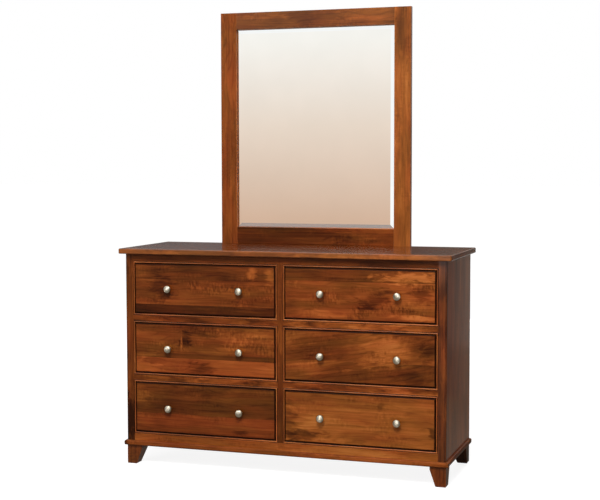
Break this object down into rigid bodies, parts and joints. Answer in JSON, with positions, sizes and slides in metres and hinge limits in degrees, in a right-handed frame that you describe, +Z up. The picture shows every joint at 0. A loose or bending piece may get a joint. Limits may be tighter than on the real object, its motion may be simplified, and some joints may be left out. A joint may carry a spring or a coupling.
{
  "type": "dresser with mirror",
  "caption": "Stained-wood dresser with sliding inset drawers in beaded openings, tapered block feet and a plain framed bevelled mirror standing at the back of its top.",
  "frame": {"origin": "on the floor, under the middle of the whole box of the dresser and mirror", "axes": "+Z up, the front with its drawers faces -Y, +X to the viewer's right"},
  "size_m": [1.416, 0.519, 1.928],
  "materials": {
    "stained_maple": "satin lacquer",
    "clear_maple": "clear lacquer",
    "plywood": "sealed",
    "satin_nickel": "satin",
    "zinc_steel": "zinc plated",
    "silvered_glass": "polished"
  },
  "bodies": {
    "case": {"top": "stained_maple", "side_left": "stained_maple", "side_right": "stained_maple", "stile_left": "stained_maple", "stile_right": "stained_maple", "stile_centre": "stained_maple", "rail_top": "stained_maple", "rail_bottom": "stained_maple", "mid_rails": "stained_maple", "opening_beads": "stained_maple", "base_moulding": "stained_maple", "foot_front_left": "stained_maple", "foot_front_right": "stained_maple", "foot_rear_left": "stained_maple", "foot_rear_right": "stained_maple", "mirror_stile_left": "stained_maple", "mirror_stile_right": "stained_maple", "mirror_rail_bottom": "stained_maple", "mirror_rail_top": "stained_maple", "mirror_supports": "stained_maple", "centre_partitions": "clear_maple", "slide_cleats": "clear_maple", "corner_blocks": "clear_maple", "top_stretchers": "clear_maple", "bottom_panel": "plywood", "back_panel": "plywood", "mirror_backing": "plywood", "slide_case_members": "zinc_steel", "wood_screws": "zinc_steel", "mirror_glass": "silvered_glass"},
    "drawer_bottom_left": {"drawer_front_bottom_left": "stained_maple", "drawer_box_bottom_left": "clear_maple", "drawer_knobs_bottom_left": "satin_nickel", "slide_drawer_members_bottom_left": "zinc_steel"},
    "runners_bottom_left": {"slide_middle_members_bottom_left": "zinc_steel"},
    "drawer_bottom_right": {"drawer_front_bottom_right": "stained_maple", "drawer_box_bottom_right": "clear_maple", "drawer_knobs_bottom_right": "satin_nickel", "slide_drawer_members_bottom_right": "zinc_steel"},
    "runners_bottom_right": {"slide_middle_members_bottom_right": "zinc_steel"},
    "drawer_middle_left": {"drawer_front_middle_left": "stained_maple", "drawer_box_middle_left": "clear_maple", "drawer_knobs_middle_left": "satin_nickel", "slide_drawer_members_middle_left": "zinc_steel"},
    "runners_middle_left": {"slide_middle_members_middle_left": "zinc_steel"},
    "drawer_middle_right": {"drawer_front_middle_right": "stained_maple", "drawer_box_middle_right": "clear_maple", "drawer_knobs_middle_right": "satin_nickel", "slide_drawer_members_middle_right": "zinc_steel"},
    "runners_middle_right": {"slide_middle_members_middle_right": "zinc_steel"},
    "drawer_top_left": {"drawer_front_top_left": "stained_maple", "drawer_box_top_left": "clear_maple", "drawer_knobs_top_left": "satin_nickel", "slide_drawer_members_top_left": "zinc_steel"},
    "runners_top_left": {"slide_middle_members_top_left": "zinc_steel"},
    "drawer_top_right": {"drawer_front_top_right": "stained_maple", "drawer_box_top_right": "clear_maple", "drawer_knobs_top_right": "satin_nickel", "slide_drawer_members_top_right": "zinc_steel"},
    "runners_top_right": {"slide_middle_members_top_right": "zinc_steel"}
  },
  "joints": [
    {"name": "drawer_bottom_left_slide", "type": "slide", "parent": "case", "child": "drawer_bottom_left", "axis": [0, -1, 0], "range_m": [0, 0.38]},
    {"name": "runners_bottom_left_slide", "type": "slide", "parent": "case", "child": "runners_bottom_left", "axis": [0, -1, 0], "range_m": [0, 0.19]},
    {"name": "drawer_bottom_right_slide", "type": "slide", "parent": "case", "child": "drawer_bottom_right", "axis": [0, -1, 0], "range_m": [0, 0.38]},
    {"name": "runners_bottom_right_slide", "type": "slide", "parent": "case", "child": "runners_bottom_right", "axis": [0, -1, 0], "range_m": [0, 0.19]},
    {"name": "drawer_middle_left_slide", "type": "slide", "parent": "case", "child": "drawer_middle_left", "axis": [0, -1, 0], "range_m": [0, 0.38]},
    {"name": "runners_middle_left_slide", "type": "slide", "parent": "case", "child": "runners_middle_left", "axis": [0, -1, 0], "range_m": [0, 0.19]},
    {"name": "drawer_middle_right_slide", "type": "slide", "parent": "case", "child": "drawer_middle_right", "axis": [0, -1, 0], "range_m": [0, 0.38]},
    {"name": "runners_middle_right_slide", "type": "slide", "parent": "case", "child": "runners_middle_right", "axis": [0, -1, 0], "range_m": [0, 0.19]},
    {"name": "drawer_top_left_slide", "type": "slide", "parent": "case", "child": "drawer_top_left", "axis": [0, -1, 0], "range_m": [0, 0.38]},
    {"name": "runners_top_left_slide", "type": "slide", "parent": "case", "child": "runners_top_left", "axis": [0, -1, 0], "range_m": [0, 0.19]},
    {"name": "drawer_top_right_slide", "type": "slide", "parent": "case", "child": "drawer_top_right", "axis": [0, -1, 0], "range_m": [0, 0.38]},
    {"name": "runners_top_right_slide", "type": "slide", "parent": "case", "child": "runners_top_right", "axis": [0, -1, 0], "range_m": [0, 0.19]}
  ],
  "couplings": [
    {"joint": "runners_bottom_left_slide", "follows": "drawer_bottom_left_slide", "ratio": 0.5},
    {"joint": "runners_bottom_right_slide", "follows": "drawer_bottom_right_slide", "ratio": 0.5},
    {"joint": "runners_middle_left_slide", "follows": "drawer_middle_left_slide", "ratio": 0.5},
    {"joint": "runners_middle_right_slide", "follows": "drawer_middle_right_slide", "ratio": 0.5},
    {"joint": "runners_top_left_slide", "follows": "drawer_top_left_slide", "ratio": 0.5},
    {"joint": "runners_top_right_slide", "follows": "drawer_top_right_slide", "ratio": 0.5}
  ]
}
